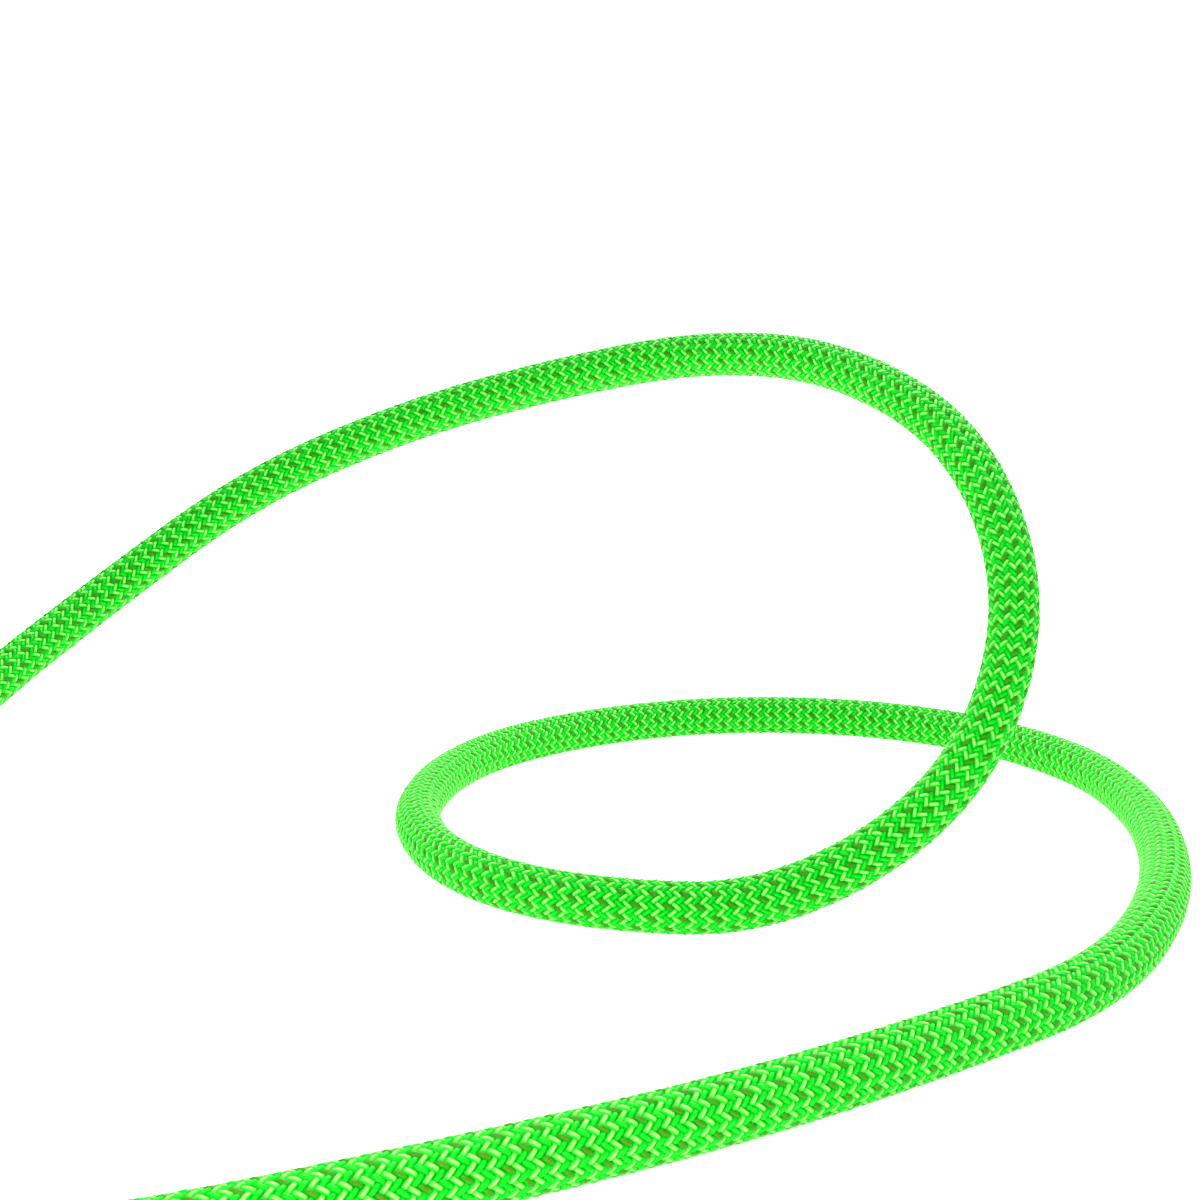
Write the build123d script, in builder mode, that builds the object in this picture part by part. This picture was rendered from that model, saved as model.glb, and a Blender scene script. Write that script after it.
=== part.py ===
"""Dynamic climbing rope: a loose bight on the floor and in the air, and the rest put away in a tied coil.

Millimetres, +Z up. The origin is on the floor, at the middle of the whole rope's footprint.
"""
import math
import os

from build123d import *

os.makedirs("parts", exist_ok=True)

# ---- The rope's section -------------------------------------------------------------------------
ROPE_D = 9.5                    # single rope, over the sheath
ROPE_R = ROPE_D / 2
SHEATH_WALL = 1.0               # braided sheath, about 38 % of the section
CORE_R = ROPE_R - SHEATH_WALL
STRAND_D = 2.0                  # one cabled core strand
OUTER_STRANDS = 8               # strands that ring the centre strand
STRAND_RING_R = CORE_R - STRAND_D / 2 - 0.02
CENTRE_SHIFT = -0.5             # the centre strand makes room for the marker tape
TAPE_W = 2.2
TAPE_T = 0.3
TAPE_SHIFT = 0.8

# ---- Ends -----------------------------------------------------------------------------------------
BAND_WALL = 0.3                 # shrunk-on end band, flush with the sheath
BAND_R = ROPE_R - BAND_WALL
BAND_START = 3.0                # from the fused tip to the band
BAND_L = 16.0
TIP_L = 3.2                     # fused tip
TIP_ROUND = 2.2

# ---- The coil --------------------------------------------------------------------------------------
COIL_X = -142.5                 # the coil's centre
COIL_R = 158.0                  # outside
HOLE_R = 68.0                   # inside
COIL_H = 86.0
COIL_ROUND = 18.0               # how far the pile's edges are rounded
COIL_MID_R = (COIL_R + HOLE_R) / 2
COIL_W = COIL_R - HOLE_R
LEAD_R = COIL_R - ROPE_R - 1.05         # radius of the turn that the loose rope runs into
LEAD_END_X = -82.0                      # where the loose stretch ends

# ---- The tail: the rope's other end, inside the coil's hole -------------------------------------------
TAIL_LEAVES = 150.0             # angle at which it leaves the innermost turn
TAIL_BEND_R = 52.0
TAIL_TURN_R = HOLE_R + ROPE_R + 1.0     # radius of the innermost turn
TAIL_STUB = 75.0                # degrees of bend that belong to the coil
TAIL_FREE = 110.0               # degrees of bend that lie free
TAIL_SHIFT = TAIL_TURN_R - TAIL_BEND_R

# ---- Ties --------------------------------------------------------------------------------------------
TIE_ANGLES = (80.0, 200.0, 320.0)
TIE_WIDTH = 20.0
TIE_T = 1.6
TIE_CLEAR = 0.6                 # the strap lies flat where the coil curves
PAD_L = 44.0                    # hook pad that closes a strap, on the coil's top
PAD_T = 1.4

# ---- The loose stretch, from the free end to the coil, chosen by hand, point by point -------------
ROUTE = [
    (68, -159, 19.5),
    (61, -121, 16.5),
    (51, -84, 11),
    (39, -48, 6.5),
    (33, -12, ROPE_R),
    (35, 27, 11),
    (47, 68, 28),
    (70, 98, 47),
    (100, 110, 69),
    (135, 115, 84),
    (170, 110, 94),
    (205, 98, 101),
    (233, 73, 99),
    (254, 40, 84),
    (260, 15, 55),
    (246, -2, 25),
    (213, -6, ROPE_R),
    (180, -3, ROPE_R),
    (155, 16, ROPE_R),
    (142, 50, ROPE_R),
    (143, 86, ROPE_R),
    (154, 119, ROPE_R),
    (179, 146, ROPE_R),
    (212, 161, ROPE_R),
    (248, 158, ROPE_R),
    (277, 138, ROPE_R),
    (294, 104, ROPE_R),
    (297, 67, ROPE_R),
    (292, 30, ROPE_R),
    (281, -6, ROPE_R),
    (262, -42, ROPE_R),
    (232, -68, ROPE_R),
    (198, -93, ROPE_R),
    (162, -113, ROPE_R),
    (126, -131, ROPE_R),
    (91, -141, ROPE_R),
    (56, -147.5, ROPE_R),
    (18, -151.5, ROPE_R),
    (-17, -153, ROPE_R),
    (-50, -LEAD_R, ROPE_R),
    (LEAD_END_X, -LEAD_R, ROPE_R),
]
BEND_SHARE = 0.45               # share of the shorter run that each bend takes


def bend_radii(points):
    """One radius for each inner point: as large as its two runs allow."""
    corners = [Vector(*point) for point in points]
    radii = []
    for before, corner, after in zip(corners, corners[1:], corners[2:]):
        run_in = corner - before
        run_out = after - corner
        turn = math.radians(run_in.get_angle(run_out))
        shorter = min(run_in.length, run_out.length)
        radii.append(BEND_SHARE * shorter / math.tan(turn / 2))
    return radii


def save(part, name):
    """Label a finished piece and write its STEP file."""
    part.label = name
    export_step(part, f"parts/{name}.step")


radii = bend_radii(ROUTE)
print("bend radii:", [round(radius) for radius in radii], "least", round(min(radii), 1))

with BuildLine():
    loose_path = FilletPolyline(*ROUTE, radius=radii)

free_end = Plane(origin=loose_path @ 0, z_dir=loose_path % 0)
free_face = Plane(origin=loose_path @ 0, z_dir=-(loose_path % 0))
print("loose stretch:", round(loose_path.length), "mm")

# ---- Sheath of the loose stretch, recessed under its end band ----------------------------------------
with BuildPart() as sheath:
    with BuildSketch(free_end):
        Circle(ROPE_R)
        Circle(CORE_R, mode=Mode.SUBTRACT)
    sweep(path=loose_path)
    with BuildSketch(free_end.offset(BAND_START)):
        Circle(ROPE_R + 1)
        Circle(BAND_R, mode=Mode.SUBTRACT)
    extrude(amount=BAND_L, mode=Mode.SUBTRACT)
save(sheath.part, "sheath_loose")
expected = math.pi * (ROPE_R**2 - CORE_R**2) * loose_path.length
print("sheath volume over section times length:", round(sheath.part.volume / expected, 4))

# ---- Core strands: eight round a ninth -----------------------------------------------------------------
for number in range(OUTER_STRANDS):
    angle = math.radians(360 / OUTER_STRANDS * number)
    with BuildPart() as strand:
        with BuildSketch(free_end):
            with Locations((STRAND_RING_R * math.cos(angle), STRAND_RING_R * math.sin(angle))):
                Circle(STRAND_D / 2)
        sweep(path=loose_path)
    save(strand.part, f"core_strand_{number + 1}")

with BuildPart() as centre_strand:
    with BuildSketch(free_end):
        with Locations((0, CENTRE_SHIFT)):
            Circle(STRAND_D / 2)
    sweep(path=loose_path)
save(centre_strand.part, "core_strand_centre")

# ---- Marker tape that runs in the core ---------------------------------------------------------------
with BuildPart() as marker_tape:
    with BuildSketch(free_end):
        with Locations((0, TAPE_SHIFT)):
            Rectangle(TAPE_W, TAPE_T)
    sweep(path=loose_path)
save(marker_tape.part, "marker_tape")

# ---- End band and fused tip of the loose end -----------------------------------------------------------
with BuildPart() as end_band_a:
    with BuildSketch(free_end.offset(BAND_START)):
        Circle(ROPE_R)
        Circle(BAND_R, mode=Mode.SUBTRACT)
    extrude(amount=BAND_L)
save(end_band_a.part, "end_band_a")

with BuildPart(free_face) as fused_tip_a:
    Cylinder(ROPE_R, TIP_L, align=(Align.CENTER, Align.CENTER, Align.MIN))
    fillet(fused_tip_a.edges().filter_by(GeomType.CIRCLE).sort_by(Axis(free_face.origin, free_face.z_dir))[-1],
           radius=TIP_ROUND)
save(fused_tip_a.part, "fused_tip_a")

# ---- Ties: a webbing strap round the pile, closed by a hook pad on top -------------------------------------
pile_mid_z = COIL_H / 2
strap_shape_w = COIL_W + TIE_CLEAR
straps = []
for number, angle in enumerate(TIE_ANGLES):
    out = Vector(math.cos(math.radians(angle)), math.sin(math.radians(angle)), 0)
    centre = Vector(COIL_X, 0, pile_mid_z) + out * (COIL_MID_R - TIE_CLEAR / 2)
    across = Plane(origin=centre, x_dir=out, z_dir=out.cross(Vector(0, 0, 1)))
    with BuildPart() as strap:
        with BuildSketch(across):
            RectangleRounded(strap_shape_w, COIL_H, COIL_ROUND)
            offset(amount=-TIE_T, kind=Kind.ARC, mode=Mode.SUBTRACT)
        extrude(amount=TIE_WIDTH / 2, both=True)
    straps.append(strap.part)
    save(strap.part, f"tie_strap_{number + 1}")

    on_top = Plane(origin=centre + Vector(0, 0, COIL_H / 2), x_dir=out, z_dir=(0, 0, 1))
    with BuildPart() as pad:
        with BuildSketch(on_top):
            RectangleRounded(PAD_L, TIE_WIDTH, 3)
        extrude(amount=PAD_T)
    save(pad.part, f"tie_pad_{number + 1}")

# ---- The coil: the outer shape of the wound turns, with its lead-in and the start of its tail ---------------
tail_angle = math.radians(TAIL_LEAVES)
tail_centre = Vector(COIL_X + TAIL_SHIFT * math.cos(tail_angle), TAIL_SHIFT * math.sin(tail_angle), 0)
tail_axis = Axis(tail_centre, (0, 0, -1))


def tail_plane(turned):
    """The plane across the tail once it has turned this many degrees, looking along the rope."""
    angle = math.radians(TAIL_LEAVES - turned)
    out = Vector(math.cos(angle), math.sin(angle), 0)
    along = Vector(math.sin(angle), -math.cos(angle), 0)
    return Plane(origin=tail_centre + out * TAIL_BEND_R + Vector(0, 0, ROPE_R), x_dir=out, z_dir=along)


with BuildPart() as coil:
    with BuildSketch(Plane.XZ):
        with Locations((COIL_X + COIL_MID_R, pile_mid_z)):
            RectangleRounded(COIL_W, COIL_H, COIL_ROUND)
    revolve(axis=Axis((COIL_X, 0, 0), (0, 0, 1)))
    for strap_part in straps:
        add(strap_part, mode=Mode.SUBTRACT)
    with BuildSketch(Plane(origin=(LEAD_END_X, -LEAD_R, ROPE_R), z_dir=(-1, 0, 0))):
        Circle(ROPE_R)
    extrude(amount=LEAD_END_X - COIL_X)
    with BuildSketch(tail_plane(0)):
        Circle(ROPE_R)
    revolve(axis=tail_axis, revolution_arc=TAIL_STUB)
save(coil.part, "coil")

# ---- The tail's sheath, core, end band and fused tip -----------------------------------------------------------
degrees_per_mm = math.degrees(1 / TAIL_BEND_R)
band_ends = TAIL_FREE - BAND_START * degrees_per_mm
band_begins = band_ends - BAND_L * degrees_per_mm

with BuildPart() as end_band_b:
    with BuildSketch(tail_plane(TAIL_STUB + band_begins)):
        Circle(ROPE_R)
        Circle(BAND_R, mode=Mode.SUBTRACT)
    revolve(axis=tail_axis, revolution_arc=band_ends - band_begins)
save(end_band_b.part, "end_band_b")

with BuildPart() as sheath_tail:
    with BuildSketch(tail_plane(TAIL_STUB)):
        Circle(ROPE_R)
        Circle(CORE_R, mode=Mode.SUBTRACT)
    revolve(axis=tail_axis, revolution_arc=TAIL_FREE)
    add(end_band_b.part, mode=Mode.SUBTRACT)
save(sheath_tail.part, "sheath_tail")

with BuildPart() as core_tail:
    with BuildSketch(tail_plane(TAIL_STUB)):
        Circle(CORE_R)
    revolve(axis=tail_axis, revolution_arc=TAIL_FREE)
save(core_tail.part, "core_tail")

tail_face = tail_plane(TAIL_STUB + TAIL_FREE)
with BuildPart(tail_face) as fused_tip_b:
    Cylinder(ROPE_R, TIP_L, align=(Align.CENTER, Align.CENTER, Align.MIN))
    fillet(fused_tip_b.edges().filter_by(GeomType.CIRCLE).sort_by(Axis(tail_face.origin, tail_face.z_dir))[-1],
           radius=TIP_ROUND)
save(fused_tip_b.part, "fused_tip_b")
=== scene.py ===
"""A dynamic climbing rope: a loose bight braided yarn by yarn, and the rest of the rope in a tied coil."""
import math

import bpy
import numpy as np
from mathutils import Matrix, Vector


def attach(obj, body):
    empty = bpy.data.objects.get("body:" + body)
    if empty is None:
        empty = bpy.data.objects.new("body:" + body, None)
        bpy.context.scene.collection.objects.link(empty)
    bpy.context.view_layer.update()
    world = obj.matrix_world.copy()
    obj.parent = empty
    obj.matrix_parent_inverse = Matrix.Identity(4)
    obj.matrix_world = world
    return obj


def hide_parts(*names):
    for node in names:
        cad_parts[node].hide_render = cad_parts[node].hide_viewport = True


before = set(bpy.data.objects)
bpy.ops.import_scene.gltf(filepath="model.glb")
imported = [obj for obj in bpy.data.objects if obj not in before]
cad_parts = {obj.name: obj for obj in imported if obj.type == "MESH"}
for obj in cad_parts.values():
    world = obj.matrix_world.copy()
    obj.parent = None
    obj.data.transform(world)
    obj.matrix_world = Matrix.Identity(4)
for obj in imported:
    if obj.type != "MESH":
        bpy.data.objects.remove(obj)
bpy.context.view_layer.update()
MM = 0.001
rng = np.random.default_rng(7)

# ---- The rope's section, as in the CAD model -----------------------------------------------------
ROPE_D = 9.5 * MM
ROPE_R = ROPE_D / 2
STRAND_R = 1.0 * MM
STRAND_RING_R = 2.73 * MM
OUTER_STRANDS = 8
STRAND_PITCH = 70 * MM          # the core strands run round the centre strand once in this length
CENTRE_SHIFT = 0.5 * MM         # the centre strand makes room for the marker tape
TAPE_SHIFT = 0.8 * MM
TAPE_W, TAPE_T = 2.2 * MM, 0.3 * MM

# ---- The braid: 24 yarns each way round, two over two under --------------------------------------
YARNS = 24
PITCH = 3.49 * ROPE_D           # one turn of a yarn along the rope
STEP_S = PITCH / (2 * YARNS)    # half the distance between neighbouring yarns, along the rope
STEP_A = math.pi / YARNS        # and round it
UNDER_R = 4.25 * MM             # what shows between the yarns
YARN_TOP_R = 4.82 * MM
YARN_HALF_W = 0.46 * MM

# ---- Ends ----------------------------------------------------------------------------------------
BAND_FROM, BAND_TO = 3 * MM, 19 * MM    # the end band, from the end of the sheath

# ---- The coil ------------------------------------------------------------------------------------
COIL_CENTRE = Vector((-142.5 * MM, 0, 0))
LEAD_R = 152.2 * MM             # radius of the turn that the loose rope runs into
OUTER_TURN_R = 152.5 * MM
COLUMN_GAP = 8.78 * MM
ROW_GAP = 9.55 * MM
COLUMNS = 10
FULL_ROWS = 9
MID_TURN_R = OUTER_TURN_R - COLUMN_GAP * (COLUMNS - 1) / 2
STEPS_PER_TURN = 24
STEP_TURN = 2 * math.pi / STEPS_PER_TURN
PILE_WAVES = ((2, 0.7, 0.6), (3, 0.5, 2.1))     # the pile isn't quite round: waves in a turn, mm, phase
TURN_WAVE_R = 0.12 * MM         # and each turn strays by itself, outwards and upwards
TURN_WAVE_Z = 0.10 * MM
STEP_UP_SHARE = 0.3             # share of a turn in which the rope moves to its next place in the pile
LEAD_ANGLE = math.radians(-90)
TAIL_LEAVES = math.radians(150)
TAIL_BEND_R = 52 * MM
TAIL_BEND = math.radians(185)
TAIL_TURN_R = 73.75 * MM
TAIL_STEPS = 12

# ---- Ties ----------------------------------------------------------------------------------------
TIE_ANGLES = [math.radians(angle) for angle in (80, 200, 320)]
TIE_REACH = math.radians(17)    # how far along the coil a strap's squeeze is felt
TIE_NARROWS = 0.03              # shares of the pile's width and height that a strap takes away
TIE_LOWERS = 0.012
TIE_LIFT = 1.6 * MM             # the turns rise over the strap beneath them
STRAP_HALF_W = 10 * MM
STRAP_T = 1.3 * MM
STRAP_CLEAR = 0.15 * MM
PAD_L = 44 * MM

# ---- The loose stretch's points (millimetres) ----------------------------------------------------
# They are part.py's, but the first four lie lower, so that the free end rests on the front strand.
ROUTE = [
    (68, -159, 15.5),
    (61, -121, 13.5),
    (51, -84, 9),
    (39, -48, 5.5),
    (33, -12, 4.75),
    (35, 27, 11),
    (47, 68, 28),
    (70, 98, 47),
    (100, 110, 69),
    (135, 115, 84),
    (170, 110, 94),
    (205, 98, 101),
    (233, 73, 99),
    (254, 40, 84),
    (260, 15, 55),
    (246, -2, 25),
    (213, -6, 4.75),
    (180, -3, 4.75),
    (155, 16, 4.75),
    (142, 50, 4.75),
    (143, 86, 4.75),
    (154, 119, 4.75),
    (179, 146, 4.75),
    (212, 161, 4.75),
    (248, 158, 4.75),
    (277, 138, 4.75),
    (294, 104, 4.75),
    (297, 67, 4.75),
    (292, 30, 4.75),
    (281, -6, 4.75),
    (262, -42, 4.75),
    (232, -68, 4.75),
    (198, -93, 4.75),
    (162, -113, 4.75),
    (126, -131, 4.75),
    (91, -141, 4.75),
    (56, -147.5, 4.75),
    (18, -151.5, 4.75),
    (-17, -153, 4.75),
    (-50, -152.2, 4.75),
    (-82, -152.2, 4.75),
]


# ---- The whole rope's line -----------------------------------------------------------------------
def smooth_step(x):
    x = min(max(x, 0.0), 1.0)
    return x * x * (3 - 2 * x)


def coil_slots():
    """Each turn's radius and height, outside column first, wound up one column and down the next."""
    slots = []
    for column in range(COLUMNS):
        radius = OUTER_TURN_R - column * COLUMN_GAP
        if column % 2:
            heights = [ROPE_R + ROW_GAP * (row + 0.5) for row in range(FULL_ROWS - 1)]
            heights.reverse()
        else:
            heights = [ROPE_R + ROW_GAP * row for row in range(FULL_ROWS)]
        if column == 0:
            heights = heights[1:-1]
        slots += [(radius, height) for height in heights]
    return slots


def squeeze(angle):
    """How strongly a strap squeezes the pile at this angle, 0 to 1."""
    away = [(angle - tie + math.pi) % (2 * math.pi) - math.pi for tie in TIE_ANGLES]
    return max(math.exp(-((a / TIE_REACH) ** 2)) for a in away)


SLOTS = coil_slots()
WOUND = 2 * math.pi * (len(SLOTS) - 1) + LEAD_ANGLE + 2 * math.pi - TAIL_LEAVES


def coil_points():
    """The coil's control points, clockwise from the lead-in to where the tail leaves."""
    steps = round(WOUND / STEP_TURN)
    outside = 1 / math.cos(STEP_TURN / 2)
    own = rng.uniform(0, 2 * math.pi, (len(SLOTS) + 1, 2))
    points = [COIL_CENTRE + Vector((LEAD_R * math.tan(STEP_TURN / 2), -LEAD_R, ROPE_R))]
    for index in range(steps):
        turned = WOUND * (index + 0.5) / steps
        turn = int(turned / (2 * math.pi))
        before = SLOTS[turn - 1] if turn else (LEAD_R, ROPE_R)
        blend = smooth_step((turned / (2 * math.pi) - turn) / STEP_UP_SHARE)
        radius = before[0] + (SLOTS[turn][0] - before[0]) * blend
        height = before[1] + (SLOTS[turn][1] - before[1]) * blend
        angle = LEAD_ANGLE - turned
        settled = smooth_step(turned / 2)
        phase_r, phase_z = own[turn] * (1 - blend) + own[turn + 1] * blend
        strays = sum(size * math.sin(waves * angle + phase) for waves, size, phase in PILE_WAVES)
        radius += settled * MM * strays
        radius += settled * TURN_WAVE_R * math.sin(4 * angle + phase_r)
        height += settled * TURN_WAVE_Z * (1 + math.sin(3 * angle + phase_z))
        pull = squeeze(angle)
        radius = MID_TURN_R + (radius - MID_TURN_R) * (1 - TIE_NARROWS * pull)
        height = height * (1 - TIE_LOWERS * pull) + TIE_LIFT * pull
        radius *= outside
        points.append(COIL_CENTRE + Vector((radius * math.cos(angle), radius * math.sin(angle), height)))
    return points


def tail_points():
    """The free tail, bending into the coil's hole."""
    out = Vector((math.cos(TAIL_LEAVES), math.sin(TAIL_LEAVES), 0))
    centre = COIL_CENTRE + (TAIL_TURN_R - TAIL_BEND_R) * out
    step = TAIL_BEND / TAIL_STEPS
    first = SLOTS[-1][1]
    points = []
    for index in range(TAIL_STEPS):
        angle = TAIL_LEAVES - step * (index + 0.5)
        radius = TAIL_BEND_R / math.cos(step / 2)
        height = first + (ROPE_R - first) * smooth_step((index + 1) / 4)
        points.append(centre + Vector((radius * math.cos(angle), radius * math.sin(angle), height)))
    end = TAIL_LEAVES - TAIL_BEND
    points.append(centre + Vector((TAIL_BEND_R * math.cos(end), TAIL_BEND_R * math.sin(end), ROPE_R)))
    return points


def sampled(points, resolution):
    """Points along the NURBS spline that has these control points."""
    curve = bpy.data.curves.new("line", "CURVE")
    curve.dimensions = "3D"
    spline = curve.splines.new("NURBS")
    spline.points.add(len(points) - 1)
    for point, place in zip(spline.points, points):
        point.co = (*place, 1)
    spline.order_u = 3
    spline.use_endpoint_u = True
    spline.resolution_u = resolution
    curve.resolution_u = resolution
    carrier = bpy.data.objects.new("line", curve)
    mesh = bpy.data.meshes.new_from_object(carrier)
    line = np.empty(len(mesh.vertices) * 3)
    mesh.vertices.foreach_get("co", line)
    bpy.data.objects.remove(carrier)
    bpy.data.curves.remove(curve)
    bpy.data.meshes.remove(mesh)
    return line.reshape(-1, 3)


def unit(vectors):
    return vectors / np.linalg.norm(vectors, axis=-1, keepdims=True)


class Line:
    """A sampled line with a frame that doesn't twist, read at any distance along it."""

    def __init__(self, points):
        self.points = points
        runs = np.linalg.norm(np.diff(points, axis=0), axis=1)
        self.s = np.concatenate([[0], np.cumsum(runs)])
        self.length = self.s[-1]
        tangents = np.gradient(points, self.s, axis=0)
        self.tangents = unit(tangents)
        normals = np.empty_like(points)
        side = np.cross(self.tangents[0], (0, 0, 1))
        normals[0] = side / np.linalg.norm(side)
        for i in range(len(points) - 1):
            turned = normals[i] - self.tangents[i + 1] * (normals[i] @ self.tangents[i + 1])
            normals[i + 1] = turned / np.linalg.norm(turned)
        self.normals = normals

    def at(self, s):
        """Position, tangent and the frame's two cross vectors at distances s."""
        s = np.asarray(s)
        place, along, side = (
            np.stack([np.interp(s, self.s, table[:, axis]) for axis in range(3)], -1)
            for table in (self.points, self.tangents, self.normals)
        )
        along = unit(along)
        side = unit(side - along * np.sum(side * along, -1, keepdims=True))
        return place, along, side, np.cross(along, side)

    def surface(self, s, angle, radius):
        """Points round the line, at a distance along it, an angle and a radius."""
        place, _, side, up = self.at(s)
        return place + (np.cos(angle) * radius)[..., None] * side + (np.sin(angle) * radius)[..., None] * up


def grid_faces(rows, columns, closed):
    """Quads of a grid of rows x columns points, joined round its columns if closed."""
    last = columns if closed else columns - 1
    i, j = np.meshgrid(np.arange(rows - 1), np.arange(last), indexing="ij")
    k = (j + 1) % columns
    corners = [i * columns + j, i * columns + k, (i + 1) * columns + k, (i + 1) * columns + j]
    return np.stack(corners, -1).reshape(-1, 4)


def mesh_object(name, points, faces, uv=None, part=None):
    """A mesh object from an array of points and arrays of faces, each array with one kind of face.

    uv is one pair for each corner of each face, and part the number of each face's material."""
    faces = faces if isinstance(faces, list) else [faces]
    mesh = bpy.data.meshes.new(name)
    mesh.vertices.add(len(points))
    mesh.vertices.foreach_set("co", np.ascontiguousarray(points, dtype=np.float32).ravel())
    corners = np.concatenate([f.ravel() for f in faces]).astype(np.int32)
    sizes = np.concatenate([np.full(len(f), f.shape[1]) for f in faces])
    mesh.loops.add(len(corners))
    mesh.loops.foreach_set("vertex_index", corners)
    mesh.polygons.add(len(sizes))
    mesh.polygons.foreach_set("loop_start", (np.cumsum(sizes) - sizes).astype(np.int32))
    mesh.update(calc_edges=True)
    if uv is not None:
        layer = mesh.uv_layers.new(name="UVMap")
        layer.data.foreach_set("uv", np.ascontiguousarray(uv, dtype=np.float32).ravel())
    if part is not None:
        mesh.polygons.foreach_set("material_index", np.ascontiguousarray(part, dtype=np.int32))
    mesh.polygons.foreach_set("use_smooth", np.ones(len(sizes), dtype=bool))
    mesh.validate()
    mesh.update()
    thing = bpy.data.objects.new(name, mesh)
    bpy.context.scene.collection.objects.link(thing)
    return thing


def piece(thing, slot, materials, *nodes):
    """Give a piece its materials, the body that it rides on and the CAD nodes that it replaces; its slot is
    not used.
    """
    for material in materials:
        thing.data.materials.append(material)
    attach(thing, "root")
    if nodes:
        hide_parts(*nodes)
    return thing


def tube(rings):
    """Points and faces of a closed tube through rings (rows x columns x 3), with a fan at each end."""
    rows, columns = rings.shape[:2]
    points = np.concatenate([rings.reshape(-1, 3), rings[[0, -1]].mean(1)])
    j = np.arange(columns)
    k = (j + 1) % columns
    first, last = rows * columns, rows * columns + 1
    fans = np.concatenate([
        np.stack([k, j, np.full(columns, first)], -1),
        np.stack([(rows - 1) * columns + j, (rows - 1) * columns + k, np.full(columns, last)], -1),
    ])
    return points, [grid_faces(rows, columns, True), fans]


# ---- Materials -----------------------------------------------------------------------------------
class Nodes:
    """A material's node tree, with short calls for what its patterns are made of."""

    def __init__(self, name, roughness, **sockets):
        self.material = bpy.data.materials.new(name)
        self.material.use_nodes = True
        self.tree = self.material.node_tree
        self.shader = self.tree.nodes["Principled BSDF"]
        self.shader.inputs["Roughness"].default_value = roughness
        for socket, value in sockets.items():
            self.shader.inputs[socket.replace("_", " ")].default_value = value

    def node(self, kind, **settings):
        node = self.tree.nodes.new(kind)
        for setting, value in settings.items():
            setattr(node, setting, value)
        return node

    def put(self, socket, value):
        if isinstance(value, bpy.types.NodeSocket):
            self.tree.links.new(value, socket)
        else:
            socket.default_value = value

    def math(self, operation, *values):
        node = self.node("ShaderNodeMath", operation=operation)
        for socket, value in zip(node.inputs, values):
            self.put(socket, value)
        return node.outputs[0]

    def uv(self):
        node = self.node("ShaderNodeUVMap", uv_map="UVMap")
        split = self.node("ShaderNodeSeparateXYZ")
        self.put(split.inputs[0], node.outputs[0])
        return split.outputs[0], split.outputs[1]

    def place(self):
        return self.node("ShaderNodeTexCoord").outputs["Object"]

    def vector(self, x, y, z=0.0):
        node = self.node("ShaderNodeCombineXYZ")
        for socket, value in zip(node.inputs, (x, y, z)):
            self.put(socket, value)
        return node.outputs[0]

    def noise(self, vector, scale, detail=2.0, rough=0.5):
        node = self.node("ShaderNodeTexNoise")
        self.put(node.inputs["Vector"], vector)
        node.inputs["Scale"].default_value = scale
        node.inputs["Detail"].default_value = detail
        node.inputs["Roughness"].default_value = rough
        return node.outputs[0]

    def band(self, value, low, high, to_low=0.0, to_high=1.0):
        node = self.node("ShaderNodeMapRange")
        for socket, number in zip(node.inputs, (value, low, high, to_low, to_high)):
            self.put(socket, number)
        return node.outputs[0]

    def mix(self, share, one, other):
        node = self.node("ShaderNodeMix", data_type="RGBA")
        self.put(node.inputs[0], share)
        self.put(node.inputs[6], one)
        self.put(node.inputs[7], other)
        return node.outputs[2]

    def bump(self, height, distance, strength=1.0):
        node = self.node("ShaderNodeBump")
        node.inputs["Distance"].default_value = distance
        node.inputs["Strength"].default_value = strength
        self.put(node.inputs["Height"], height)
        self.put(self.shader.inputs["Normal"], node.outputs[0])

    def colour(self, value):
        self.put(self.shader.inputs["Base Color"], value)

    def roughness(self, value):
        self.put(self.shader.inputs["Roughness"], value)


# Painted light in these colours: on light and green yarns the pale crown is a painted highlight and the
# darker flank is painted shade; olive's green flank is a painted reflection of the green yarns beside it; the
# glow is painted light from yarns that are no lamp.
YARN_COLOURS = {                # crown, flank, blotches and glow of each colour of yarn
    "light": ((0.34, 0.98, 0.15, 1), (0.0, 0.50, 0.012, 1), (0.02, 0.52, 0.012, 1), 0.15),
    "green": ((0.0, 0.53, 0.012, 1), (0.0, 0.40, 0.004, 1), (0.0, 0.34, 0.002, 1), 0.10),
    "olive": ((0.09, 0.115, 0.0, 1), (0.01, 0.27, 0.0, 1), (0.03, 0.12, 0.0, 1), 0.03),
}
# Between these steps from a float's middle, its crown colour fades into the painted flank colour, where the
# float sinks under the yarns that cross it.
CROWN_ENDS = {"light": (0.45, 1.0), "green": (0.6, 1.1), "olive": (0.2, 0.8)}
# Painted shade: the yarns beneath the braid, in the dark green that the gaps between the floats show.
SHADED_UNDER = (0.01, 0.17, 0.0, 1)
FLOAT_APART = 7.0               # so far apart are two floats' UVs, lengthwise


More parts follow.
